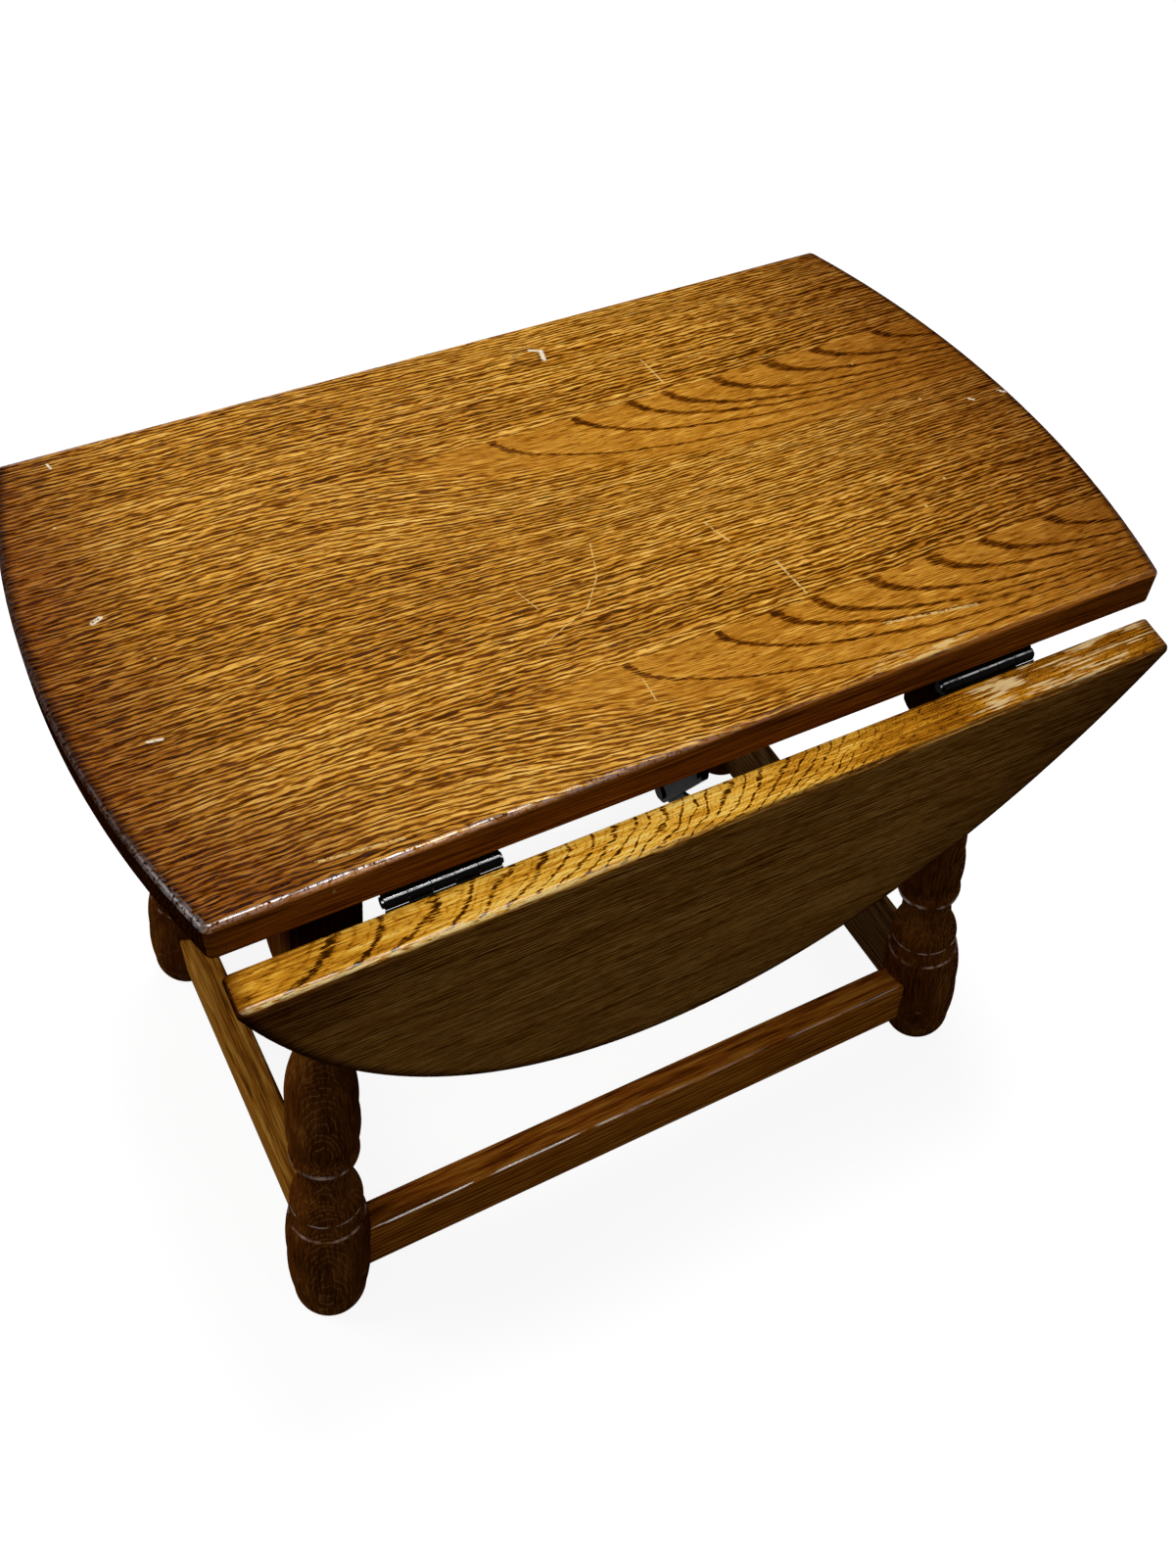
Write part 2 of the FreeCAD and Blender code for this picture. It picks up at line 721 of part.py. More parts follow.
def make_stays():
    apron_pivot, leaf_pivot, knuckle = stay_points()
    apron_screws = []
    for side, turn in SIDES.items():
        name = f"{side}_stay"
        lower_place = turn.multiply(along_link(apron_pivot, knuckle))
        keep(make_link(name + "_lower", 1), f"stay_lower_link_{side}", lower_place)
        keep(make_link(name + "_upper", 2), f"stay_upper_link_{side}",
             turn.multiply(along_link(leaf_pivot, knuckle)))
        keep(make_rivet(name), f"stay_knuckle_rivet_{side}", lower_place)
        keep(make_apron_bracket(name), f"stay_apron_bracket_{side}", turn)
        keep(make_leaf_bracket(name), f"stay_leaf_bracket_{side}", turn.multiply(HANG))
        keep(make_apron_pin(name), f"stay_apron_pin_{side}", turn)
        keep(make_leaf_pin(name), f"stay_leaf_pin_{side}", turn.multiply(HANG))
        for number, point in enumerate(apron_screw_points()):
            fixing = screw(f"{name}_apron_screw_{number}", point, INWARD, d.screw_grip)
            fixing.Placement = turn
            apron_screws.append(fixing)
        leaf_screws = [screw(f"{name}_leaf_screw_{number}", point, UP, d.screw_grip)
                       for number, point in enumerate(leaf_screw_points())]
        keep(group(name + "_leaf_screws", leaf_screws), f"stay_screws_leaf_{side}", turn.multiply(HANG))
    keep(group("stay_apron_screws", apron_screws), "stay_screws_apron")


apron_pivot_place = (d.stay_place, -half_width - stay_apron_out, underside - d.stay_drop)
leaf_ear_side = stay_pitch * 3 + d.stay_place
leaf_pivot_place = (leaf_ear_side, -half_width - d.stay_reach, underside - d.stay_ear_drop)


def make_rivet(name):
    """A rivet through the lower link's knuckle end, headed on the apron bracket's side."""
    side = stay_pitch + d.stay_place
    shaft = rod(name + "_rivet_shaft", (side, link_length, none), ALONG,
                d.strap_thickness, d.stay_pin_radius)
    head = rod(name + "_rivet_head", (side - d.stay_cap_height, link_length, none), ALONG,
               d.stay_cap_height, d.stay_cap_radius)
    return fuse(name + "_rivet", [shaft, head])


def make_ear(name, point, y_span, z_span, plate):
    """An upright ear on a base plate, rounded about its pivot hole."""
    x, y, z = point
    strap = box(name + "_strap", (x, x + d.strap_thickness), y_span, z_span)
    nose = rod(name + "_nose", point, ALONG, d.strap_thickness, d.strap_width / 2)
    hole = rod(name + "_hole", (x - d.overrun, y, z), ALONG,
               d.strap_thickness + d.overrun * 2, stay_pin_hole)
    return cut(name + "_eared", fuse(name + "_blank", [plate, strap, nose]), [hole])


def make_apron_bracket(name):
    x, y, z = apron_pivot_place
    face = -apron_face
    plate = box(name + "_apron_base", (x - d.stay_base_length, x + d.strap_thickness),
                (face - d.strap_thickness, face), around(z, d.stay_base_width / 2))
    ear = make_ear(name + "_apron_ear", apron_pivot_place, (y, face), around(z, d.strap_width / 2), plate)
    drills = []
    for number, point in enumerate(apron_screw_points()):
        drills += screw_hole(f"{name}_apron_hole_{number}", point, INWARD, d.strap_thickness + d.overrun)
    return cut(name + "_apron_bracket", ear, drills)


def make_leaf_bracket(name):
    x, y, z = leaf_pivot_place
    plate = box(name + "_leaf_base", (x, x + d.strap_thickness + d.stay_base_length),
                around(y, d.stay_base_width / 2), (underside - d.strap_thickness, underside))
    ear = make_ear(name + "_leaf_ear", leaf_pivot_place, around(y, d.strap_width / 2),
                   (z, underside), plate)
    drills = []
    for number, point in enumerate(leaf_screw_points()):
        drills += screw_hole(f"{name}_leaf_hole_{number}", point, UP, d.strap_thickness + d.overrun)
    return cut(name + "_leaf_bracket", ear, drills)


def apron_screw_points():
    x, y, z = apron_pivot_place
    across = x - d.stay_base_length / 2
    face = -apron_face - d.strap_thickness
    return [(across, face, z + d.stay_base_width / 4 * sign) for sign in (-1, 1)]


def leaf_screw_points():
    x, y, z = leaf_pivot_place
    across = x + d.strap_thickness + d.stay_base_length / 2
    return [(across, y + d.stay_base_width / 4 * sign, underside - d.strap_thickness) for sign in (-1, 1)]


def make_apron_pin(name):
    length = stay_pitch + d.strap_thickness + d.strap_gap
    return capped_pin(name + "_apron_pin", apron_pivot_place, length,
                      d.stay_pin_radius, d.stay_cap_radius, d.stay_cap_height)


def make_leaf_pin(name):
    x, y, z = leaf_pivot_place
    start = (x - stay_pitch - d.strap_gap, y, z)
    length = stay_pitch + d.strap_thickness + d.strap_gap
    return capped_pin(name + "_leaf_pin", start, length,
                      d.stay_pin_radius, d.stay_cap_radius, d.stay_cap_height)


make_boards()
for deep_name, deep_sign in (("front", -1), ("back", 1)):
    for across_name, across_sign in (("left", -1), ("right", 1)):
        corner = f"{deep_name}_{across_name}"
        keep(make_leg(corner, across_sign, deep_sign), f"leg_{corner}")
make_aprons()
make_stretchers()
make_glue_blocks()
make_hinges()
make_stays()
doc.recompute()

for thing in doc.Objects:
    assert not {"Invalid", "Error"} & set(thing.State), f"{thing.Name}: {thing.State}"
os.makedirs("parts", exist_ok=True)
for piece in pieces:
    assert not piece.Shape.isNull() and piece.Shape.isValid(), piece.Label
    piece.Shape.exportStep(f"parts/{piece.Label}.step")
    print(piece.Label, len(piece.Shape.Solids), round(piece.Shape.Volume))
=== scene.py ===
import json
import math
import bpy
from mathutils import Matrix, Vector


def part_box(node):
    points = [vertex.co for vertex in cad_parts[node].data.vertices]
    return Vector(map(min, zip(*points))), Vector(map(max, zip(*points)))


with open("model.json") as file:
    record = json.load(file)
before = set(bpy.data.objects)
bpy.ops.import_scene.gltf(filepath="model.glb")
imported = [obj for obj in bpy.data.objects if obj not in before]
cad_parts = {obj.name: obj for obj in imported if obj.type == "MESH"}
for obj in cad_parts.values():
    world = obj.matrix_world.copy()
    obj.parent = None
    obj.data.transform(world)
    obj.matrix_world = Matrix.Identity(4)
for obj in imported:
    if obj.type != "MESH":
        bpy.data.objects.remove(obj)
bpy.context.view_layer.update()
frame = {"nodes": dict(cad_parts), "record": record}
record = frame["record"]
MM = 1000


def named(entries, name):
    return next(entry for entry in entries if entry["name"] == name)


def srgb(red, green, blue):
    """A colour as it shows on a screen, as Blender's linear colour."""
    shares = [channel / 255 for channel in (red, green, blue)]
    linear = [((share + 0.055) / 1.055) ** 2.4 if share > 0.04 else share / 12.92
              for share in shares]
    return (*linear, 1.0)


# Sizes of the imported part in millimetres, which the materials follow
hinge = named(record["behaviour"]["joints"], "leaf_front_hinge")
foot = named(record["mounts"], "foot_back_right")
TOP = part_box("top_panel")[1][2] * MM
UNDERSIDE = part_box("top_panel")[0][2] * MM
OVAL_HALF_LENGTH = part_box("top_panel")[1][0] * MM
HINGE_CENTRE = Vector(hinge["pos_m"]) * MM
HALF_WIDTH = -HINGE_CENTRE.y
HANG = math.radians(hinge["range_deg"][1])
FOOT_X, FOOT_Y = foot["pos_m"][0] * MM, foot["pos_m"][1] * MM
STRETCHER_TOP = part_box("stretcher_front")[1][2] * MM
# Half the width of the raised oval, and how far a leg leans for each millimetre of height
OVAL_HALF_WIDTH = 378.9
LEAN = math.tan(math.radians(5.7))

# Camera: place in metres, then yaw, pitch and roll in degrees, then the lens in millimetres
CAMERA_SPOT = (-0.2894, -0.5164, 0.9216)
CAMERA_ANGLES = (30.81, 49.85, 3.865)
SENSOR_WIDTH, FOCAL_LENGTH = 36, 36.04
# Lamps: name, place, target and width in metres, power in watts
LAMPS = (
    ("ceiling_lamp", (0.12, 0.22, 2.3), (0, 0, 0.4), 0.7, 27),
    ("left_window", (-1.7, 0.9, 1.4), (0, 0, 0.2), 1.2, 11),
    ("front_lamp", (0.3, -1.2, 2.2), (0, 0, 0.2), 0.25, 2),
)
# Floor: radius and drop below the feet in metres, number of sides, and its grey for diffuse light
# and for rays that are seen
FLOOR_RADIUS, FLOOR_DROP, FLOOR_SIDES = 30, 0.0005, 96
FLOOR_BOUNCE, FLOOR_PALE = 0.09, 0.32
# The floor's glow: from and to which distance in millimetres it rises, and between which strengths
FLOOR_GLOW = (900, 4000, 0.9, 1.0)
# The world's strength for diffuse light and for rays that are seen
WORLD_DIM, WORLD_WHITE = 0.11, 1.0

# The noises of the materials: size of a cell in millimetres along x, y and z or along and across
# the grain, detail, roughness of the detail, and a shift that keeps two noises from being alike
NOISES = {
    "pores": ((8, 0.75, 0.75), 2.0, 0.5, 0.0),
    "pore_rows": ((20, 4, 4), 2.0, 0.5, 5.0),
    "patches": ((110, 50, 50), 2.0, 0.5, 7.0),
    "top_wander": ((90, 30, 30), 2.0, 0.5, 0.0),
    "top_ripple": ((13, 6, 6), 1.0, 0.5, 0.0),
    "top_ragged": ((6, 0.9, 0.9), 2.0, 0.6, 4.0),
    "top_fibre": ((15, 0.5, 0.5), 2.5, 0.6, 2.0),
    "top_bands": ((130, 4.5, 4.5), 2.0, 0.5, 9.0),
    "top_edge": ((42, 42, 0.9), 3.0, 0.6, 0.0),
    "top_wear": ((1.6, 1.6, 1.6), 3.0, 0.5, 0.0),
    "top_flakes": ((14, 1.6, 1.6), 3.0, 0.6, 0.0),
    "top_lacquer": ((9, 3, 3), 2.0, 0.5, 3.0),
    "leaf_wander": ((170, 45, 45), 2.0, 0.5, 0.0),
    "leaf_streaks": ((34, 0.9, 0.9), 2.0, 0.5, 0.0),
    "leaf_bands": ((190, 9, 9), 2.0, 0.5, 2.0),
    "sawn_ripple": ((8, 8, 4), 2.0, 0.5, 0.0),
    "sawn_wander": ((32, 32, 32), 1.0, 0.5, 1.0),
    "sawn_pores": ((7, 7, 0.8), 2.0, 0.6, 0.0),
    "sawn_dashes": ((5, 5, 0.6), 2.0, 0.6, 5.0),
    "sawn_patches": ((40, 40, 10), 2.0, 0.5, 4.0),
    "sawn_streaks": ((40, 40, 1.0), 3.0, 0.65, 2.0),
    "sawn_raw": ((26, 26, 3.5), 3.0, 0.6, 9.0),
    "leg_wander": ((34, 12, 12), 2.0, 0.5, 0.0),
    "leg_streaks": ((24, 1.3, 1.3), 3.0, 0.6, 0.0),
    "leg_patches": ((50, 22, 22), 2.0, 0.5, 3.0),
    "leg_wear": ((20, 7, 7), 3.0, 0.5, 6.0),
    "leg_ticks": ((1.4, 6, 6), 2.0, 0.5, 8.0),
    "bar_wander": ((60, 12, 12), 2.0, 0.5, 0.0),
    "bar_streaks": ((26, 0.8, 0.8), 3.0, 0.6, 0.0),
    "bar_lacquer": ((26, 3, 3), 3.0, 0.5, 6.0),
    "metal_grain": ((4, 4, 4), 4.0, 0.6, 0.0),
    "metal_wear": ((7, 2, 2), 2.0, 0.5, 3.0),
}

# Tones of the surfaces, from dark to pale: a tone and its colour on a screen
GOLDEN_OAK = ((0.0, (62, 29, 1)), (0.2, (108, 55, 2)), (0.5, (168, 103, 20)),
              (0.8, (226, 162, 58)), (1.0, (255, 206, 106)))
SAWN_OAK = ((0.0, (58, 30, 1)), (0.3, (134, 76, 8)), (0.6, (202, 133, 28)),
            (0.82, (244, 184, 62)), (1.0, (255, 220, 118)))
EDGE_OAK = ((0.3, (74, 34, 4)), (0.5, (142, 78, 14)), (0.72, (200, 124, 38)))
LEAF_OAK = ((0.1, (104, 58, 6)), (0.5, (180, 115, 36)), (0.9, (235, 174, 88)))
LEG_OAK = ((0.2, (60, 26, 5)), (0.5, (122, 66, 19)), (0.8, (176, 116, 48)))
LONG_OAK = ((0.2, (100, 46, 8)), (0.5, (200, 112, 28)), (0.85, (252, 174, 64)))
SHORT_OAK = ((0.2, (118, 66, 14)), (0.5, (210, 132, 42)), (0.85, (250, 190, 84)))
# A darker copy of the short stretchers' oak for the right end stretcher: painted shade
PAINTED_SHADE_OAK = ((0.2, (62, 36, 13)), (0.5, (118, 78, 38)), (0.85, (156, 118, 72)))
# Aprons and blocks, darker: partly painted shade of the space under the top
FRAME_OAK = ((0.2, (52, 25, 6)), (0.5, (98, 54, 17)), (0.85, (136, 88, 36)))
BLACK_LACQUER = ((0.35, (7, 7, 8)), (0.75, (15, 14, 14)))
BLACKENED_STEEL = ((0.35, (11, 10, 10)), (0.75, (27, 25, 24)))

# Colours that multiply the wood's own: stain at the ends of a leaf's joint edge, stain and painted
# shade at the ends and rim of the oval, painted shade at a leg's head and a long stretcher's top
END_STAIN_AND_SHADE, RIM_STAIN_AND_SHADE, SAWN_END_STAIN = srgb(164, 130, 116), srgb(92, 62, 48), srgb(112, 76, 54)
LEG_HEAD_SHADE, BAR_TOP_SHADE = srgb(120, 100, 90), srgb(178, 140, 130)
# Colours of marks and wear, which cover the wood. A leaf's rubbed arris and a leg's pale lines
# are also painted highlights, and the pale line on a long stretcher's arris is a painted highlight
BRUISE, SCRATCHED, BARE = srgb(70, 36, 8), srgb(238, 198, 122), srgb(230, 194, 122)
CHIPPED, RAW_WOOD, RUBBED_GOLD_AND_GLINT = srgb(246, 230, 200), srgb(238, 206, 146), srgb(252, 222, 142)
STAINED_ARRIS, RINGED_EYE = srgb(70, 42, 16), srgb(204, 146, 78)
LEG_WEAR_AND_GLINT, PAINTED_BAR_GLINT = srgb(214, 168, 146), srgb(255, 232, 196)

# Lacquer: its roughness, its refractive index on each kind of piece, and the gloss of bare metal
LACQUER_ROUGHNESS = 0.22
TOP_LUSTRE, LEAF_LUSTRE, LEG_LUSTRE, BAR_LUSTRE, METAL_LUSTRE = 1.8, 1.5, 2.0, 2.6, 4.0
METAL_GLOSS = 0.03

# Lengths below are in millimetres. A range of four gives from low, from high, to low, to high.
# Depth of the relief that the grain gives each kind of piece
TOP_RELIEF, LEAF_RELIEF, LEG_RELIEF, BAR_RELIEF, METAL_RELIEF = 0.2, 0.15, 0.1, 0.08, 0.01
# Share of a speck's radius and of a mark's half width where it starts to fade
SPECK_CORE, MARK_CORE = 0.6, 0.4
# Glued strips of the boards: width, one seam, how far each strip slips along the next
STRIP, SEAM, SLIP = 168.7, 70.7, 12.7
# Rows of pores: their spacing, and how many rows they stray
ROW, ROW_STRAY = 2.7, 1.8
# How far the noises move the grain across the board
GRAIN_WANDER, GRAIN_RIPPLE = 5, 1.6
# Where the dark loops of the grain start along a seam
LOOPS = (-66, -11, 39, 71, 92, 122, 156, 186, 227)
# How far noise moves the loops, how blunt and how thin they are along the board, and their edge
LOOP_WANDER, LOOP_RIPPLE, LOOP_SWELL, LOOP_RAGS = 14, 6, 3, 7
LOOP_SPREAD, LOOP_THINNING, LOOP_EDGE = (40, 280, 21, 9), (0, 130, 1.8, 1.0), (1.6, 5.2, 1, 0)
# Where rows of pores give way to loops, and how the grain tilts along the board and below a seam
LOOPED, GRAIN_TILT, TILT_FADE = (-85, -5), (-150, 50, 0, 26), (35, 115, 1, 0.25)
# Stain and painted shade of the ends of top and leaves: its range from the middle, its blur, and
# the darkest corner
LEFT_STAIN_AND_SHADE, RIGHT_STAIN_AND_SHADE, STAIN_AND_SHADE_BLUR = (165, 262, 0.0, 0.9), (90, 262, 0.0, 0.7), 60
CORNER_X, CORNER_Y, CORNER_SQUASH, CORNER_STAIN_AND_SHADE = -240, -145, 1.4, (25, 110, 0.85, 0.0)
# Stain and painted shade of the rim as shares of the oval, and where its broad part begins
RIM_DARK, RIM_BROAD, BROAD_START = (0.97, 0.994, 0.0, 0.9), (0.8, 1.0, 0.0, 0.25), (0, 80)
# The top's long edges: how far out their brown starts, the heights of the upper arris, and the
# heights and distances out of the glint on it
EDGE_DEPTHS, ARRIS_HEIGHTS = (HALF_WIDTH - 2.6, HALF_WIDTH - 1), (TOP - 2.8, TOP - 1.4)
GLINT_HEIGHTS, GLINT_DEPTHS = (TOP - 1.5, TOP - 0.8), (HALF_WIDTH - 4.4, HALF_WIDTH - 3.2)
# Glint of the bowed ends as shares of the oval, how it fades along y, and all glints along x
RIM_GLINT, RIM_FADE, GLINT_FADE = (0.986, 0.989), (-150, -90, 1.0, 0.15), (-60, 60, 1.0, 0.2)
# A dark ring around one chip of the top, and pale specks all over it
BRUISE_SPOT, BRUISE_RADIUS, BRUISE_EDGE = (39, 128, TOP), 7, (0.4, 2.6, 0.4, 0.0)
SPECK_CELL, SPECK_RADIUS = 30, 1.1
# Scratches of the top: start, end and half width
SCRATCHES = (
    ((-1, -20), (-9, -42), 0.5),
    ((-9, -42), (-23, -59), 0.5),
    ((-23, -59), (-53, -72), 0.4),
    ((57, -30), (61, -47), 0.8),
    ((74, -69), (75, -94), 0.9),
    ((94, 100), (95, 78), 0.7),
    ((97, -127), (144, -135), 1.2),
    ((-189, -142), (-153, -146), 1.0),
    ((-48, -35), (-44, -50), 0.4),
    ((-22, -110), (-23, -124), 0.5),
)
# Bare chips of the top, in the same form
CHIPS = (
    ((42.5, 133), (48, 130), 1.3),
    ((48, 130), (46, 122), 1.7),
    ((-229, 27), (-225, 29), 1.7),
    ((-229, -52), (-223, -53), 1.1),
    ((257, -4), (260, -6), 1.3),
    ((238, -3), (240, -5), 0.9),
    ((-217, 145), (-216, 141), 0.9),
)
# Flaked lacquer along the near edge: its middle along x, how it fades from there, and how far from
# the edge it starts and ends
FLAKED_X, FLAKED_FADE = 100, (22, 42, 0.0, -0.3)
FLAKED_START, FLAKED_END = (1, 3), (6, 12, 0.9, 0.0)
# How far a leaf's grain strays, and where its joint edge starts across the level leaf
LEAF_STRAY, SAWN_DEPTHS = 9, (-HALF_WIDTH - 1.5, -HALF_WIDTH - 1)
# Lines across a leaf's joint edge: how they lean, curve and stray, where they start, and the
# areas in square millimetres that set how fast they crowd together
LINE_LEAN, LINE_CURVE, LINE_RIPPLE, LINE_WANDER, LINE_START = 0.4, 0.05, 8, 30, 258
LINE_AREA, FINE_AREA, LINE_FADE = 4200, 1400, (20, 110, 1.0, 0.3)
# Along that edge: browned to the right and the left, bare wood to the right, and its dark ends
BROWNED_RIGHT, BROWNED_LEFT = (-10, 130, 0.0, 0.4), (-215, -130, 0.2, 0.0)
RAW_RIGHT, SAWN_ENDS = (70, 140, -0.4, 0.06), (226, 240, 0.0, 0.9)
# Its upper arris, by the depth below the top and along x: rubbed pale with a painted highlight,
# stained dark and glinting
RUBBED_AND_GLINT_DEPTHS, RUBBED_AND_GLINT_FADE = (1.6, 2.8, 1.0, 0.0), (-120, -30, 1.0, 0.05)
STAINED_DEPTHS, STAINED_START = (1.0, 2.6, 0.8, 0.0), (-40, 30)
SHINE_DEPTHS, SHINE_FADE = (2.6, 3.6, 1.0, 0.0), (-90, 0, 1.0, 0.0)
# A leg's growth rings: direction across the leg, slope, stray and spacing
RING_ACROSS, RING_DEEP, RING_SLOPE, RING_STRAY, RING_WIDTH = 0.36, 0.93, 0.1, 3.4, 1.15
# Heights along a leg: where painted shade darkens its head, where its foot is flecked
HEAD_SHADE_START, FLECK_END = (290, 340), (20, 75, 1.0, 0.0)
# Heights along a leg where pale lines mark its turned edges, rubbed wear and also painted
# highlights of their glints, and half the width of each mark
RUBBED_AND_GLINTING_EDGES = ((85.4, 0.6), (98.4, 1.4), (144.3, 2.4))
# A bar's growth rings: direction across the bar, stray and spacing
BAR_ACROSS, BAR_UP, BAR_STRAY, BAR_RING = 0.5, 0.86, 9, 4.2
# Glint of a long stretcher, in its lacquer and as a pale line painted into its colour: how far out
# it lies, how it fades along x, at which depths below the bar's top it starts and ends, and the
# depths of the painted shade on the bar's top face
BAR_OUTER, BAR_GLINT_FADE = (FOOT_Y - 4, FOOT_Y), (-60, 40, 1.0, 0.25)
BAR_GLINT_START, BAR_GLINT_END = (0.02, 0.1), (0.45, 0.9, 1.0, 0.0)
BAR_SHADE_DEPTHS = (0.2, 1.4, 0.3, 0.0)
# How far outside a hinge's pin its barrel is rubbed to a shine, that line's edge and its heights
POLISH, POLISH_EDGE = 1.3, (0.2, 0.6, 1.0, 0.0)
POLISH_HEIGHTS = (HINGE_CENTRE.z + 1, HINGE_CENTRE.z + 2)

# Which finish each stretcher gets; the right end one gets a darker oak as painted shade
STRETCHERS = {"stretcher_front": "long", "stretcher_back": "long",
              "stretcher_left": "short", "stretcher_right": "dim"}


class Field:
    """A number that varies over a surface. Arithmetic on it adds math nodes."""

    def __init__(self, graph, socket):
        self.graph = graph
        self.socket = socket

    def __add__(self, other):
        return self.graph.math("ADD", self, other)

    def __sub__(self, other):
        return self.graph.math("SUBTRACT", self, other)

    def __rsub__(self, other):
        return self.graph.math("SUBTRACT", other, self)

    def __mul__(self, other):
        return self.graph.math("MULTIPLY", self, other)

    def __truediv__(self, other):
        return self.graph.math("DIVIDE", self, other)

    def __abs__(self):
        return self.graph.math("ABSOLUTE", self)

    __radd__ = __add__


class Graph:
    """Builds the nodes of one material or of the world."""

    def __init__(self, owner):
        owner.use_nodes = True
        self.owner = owner
        self.tree = owner.node_tree

    def feed(self, socket, value):
        if isinstance(value, Field):
            value = value.socket
        if isinstance(value, bpy.types.NodeSocket):
            self.tree.links.new(value, socket)
        else:
            socket.default_value = value

    def node(self, kind, inputs, **settings):
        made = self.tree.nodes.new("ShaderNode" + kind)
        for name, value in settings.items():
            setattr(made, name, value)
        for name, value in inputs.items():
            self.feed(made.inputs[name], value)
        return made

    def math(self, operation, *values, clamp=False):
        made = self.node("Math", dict(enumerate(values)), operation=operation, use_clamp=clamp)
        return Field(self, made.outputs[0])

    def vector(self, operation, *values):
        made = self.node("VectorMath", dict(enumerate(values)), operation=operation)
        if operation in ("LENGTH", "DOT_PRODUCT", "DISTANCE"):
            return Field(self, made.outputs["Value"])
        return made.outputs["Vector"]

    def clamp(self, value):
        return self.math("ADD", value, 0.0, clamp=True)

    def most(self, *values):
        found = values[0]
        for value in values[1:]:
            found = self.math("MAXIMUM", found, value)
        return found

    def fold(self, value):
        """How far a value is from the middle of its period of 1: from 0 to a half."""
        return abs(self.math("FRACT", value) - 0.5)

    def place(self):
        """The point on the part at rest, in millimetres."""
        spot = self.node("TexCoord", {}).outputs["Object"]
        return self.vector("MULTIPLY", spot, (MM, MM, MM))

    def xyz(self, point):
        made = self.node("SeparateXYZ", {0: point})
        return [Field(self, socket) for socket in made.outputs]

    def point(self, x, y, z):
        return self.node("CombineXYZ", {0: x, 1: y, 2: z}).outputs[0]

    def turn(self, point, axis, angle, centre=(0, 0, 0)):
        inputs = {"Vector": point, "Center": centre, "Angle": angle}
        return self.node("VectorRotate", inputs, rotation_type=axis + "_AXIS").outputs[0]

    def noise(self, point, kind):
        """Noise of a kind listed above, from 0 to 1."""
        cell, detail, rough, shift = NOISES[kind]
        scaled = self.vector("MULTIPLY_ADD", point, [1 / size for size in cell],
                             (shift, shift, shift))
        inputs = {"Vector": scaled, "Scale": 1.0, "Detail": detail, "Roughness": rough}
        return Field(self, self.node("TexNoise", inputs).outputs[0])

    def sway(self, point, kind):
        """Noise of a kind listed above, about 0."""
        return self.noise(point, kind) - 0.5

    def specks(self, point, cell, radius):
        """1 on round specks, one to a cell of this size, 0 beside them."""
        scaled = self.vector("MULTIPLY", point, (1 / cell, 1 / cell, 1 / cell))
        made = self.node("TexVoronoi", {"Vector": scaled, "Scale": 1.0})
        away = Field(self, made.outputs["Distance"]) * cell
        return self.remap(away, radius * SPECK_CORE, radius, 1.0, 0.0)

    def remap(self, value, low, high, to_low=0.0, to_high=1.0):
        inputs = {"Value": value, "From Min": low, "From Max": high,
                  "To Min": to_low, "To Max": to_high}
        made = self.node("MapRange", inputs, interpolation_type="SMOOTHSTEP")
        return Field(self, made.outputs[0])

    def blend(self, share, start, end):
        """A number between two numbers."""
        made = self.node("Mix", {0: share, 2: start, 3: end}, data_type="FLOAT")
        return Field(self, made.outputs[0])

    def mix(self, share, start, end, mode="MIX"):
        """A colour between two colours."""
        made = self.node("Mix", {0: share, 6: start, 7: end}, data_type="RGBA", blend_type=mode)
        return made.outputs[2]

    def ramp(self, value, tones):
        """The colour of a tone, among tones listed above."""
        made = self.node("ValToRGB", {0: value})
        elements = made.color_ramp.elements
        while len(elements) < len(tones):
            elements.new(1.0)
        for element, (spot, colour) in zip(elements, tones):
            element.position = spot
            element.color = srgb(*colour)
        return made.outputs[0]

    def strokes(self, point, marks):
        return self.most(*(self.stroke(point, *mark) for mark in marks))

    def stroke(self, point, start, end, half_width):
        """1 on a straight mark between two points of the top, 0 beside it."""
        start, end = Vector((*start, TOP)), Vector((*end, TOP))
        run = end - start
        away = self.vector("SUBTRACT", point, start)
        reach = self.vector("DOT_PRODUCT", away, run)
        share = self.math("DIVIDE", reach, run.length_squared, clamp=True)
        nearest = self.vector("MULTIPLY", run, self.point(share, share, share))
        distance = self.vector("DISTANCE", away, nearest)
        return self.remap(distance, half_width * MARK_CORE, half_width, 1.0, 0.0)

    def finish(self, colour, rough, height, depth, lacquer, lustre, gloss=0.0):
        """Set the surface: colour, roughness, a bump of this depth in millimetres, the lacquer's
        share and refractive index, and the gloss beneath it."""
        surface = self.tree.nodes["Principled BSDF"]
        self.feed(surface.inputs["Base Color"], colour)
        self.feed(surface.inputs["Roughness"], rough)
        self.feed(surface.inputs["Coat Weight"], lacquer)
        surface.inputs["Coat Roughness"].default_value = LACQUER_ROUGHNESS
        surface.inputs["Coat IOR"].default_value = lustre
        surface.inputs["Specular IOR Level"].default_value = gloss
        bump = self.node("Bump", {"Strength": 1.0, "Distance": depth / MM, "Height": height})
        self.feed(surface.inputs["Normal"], bump.outputs[0])
        return self.owner


def new_material(name):
    return Graph(bpy.data.materials.new(name))


def pore_rows(g, q):
    """Noise of the pores, and 1 on the short dark pores that stand in rows along the grain."""
    pores = g.noise(q, "pores")
    across = g.xyz(q)[1]
    rows = g.fold(across / ROW + g.noise(q, "pore_rows") * ROW_STRAY)
    return pores, g.remap(pores + rows * 0.9, 0.63, 0.85)


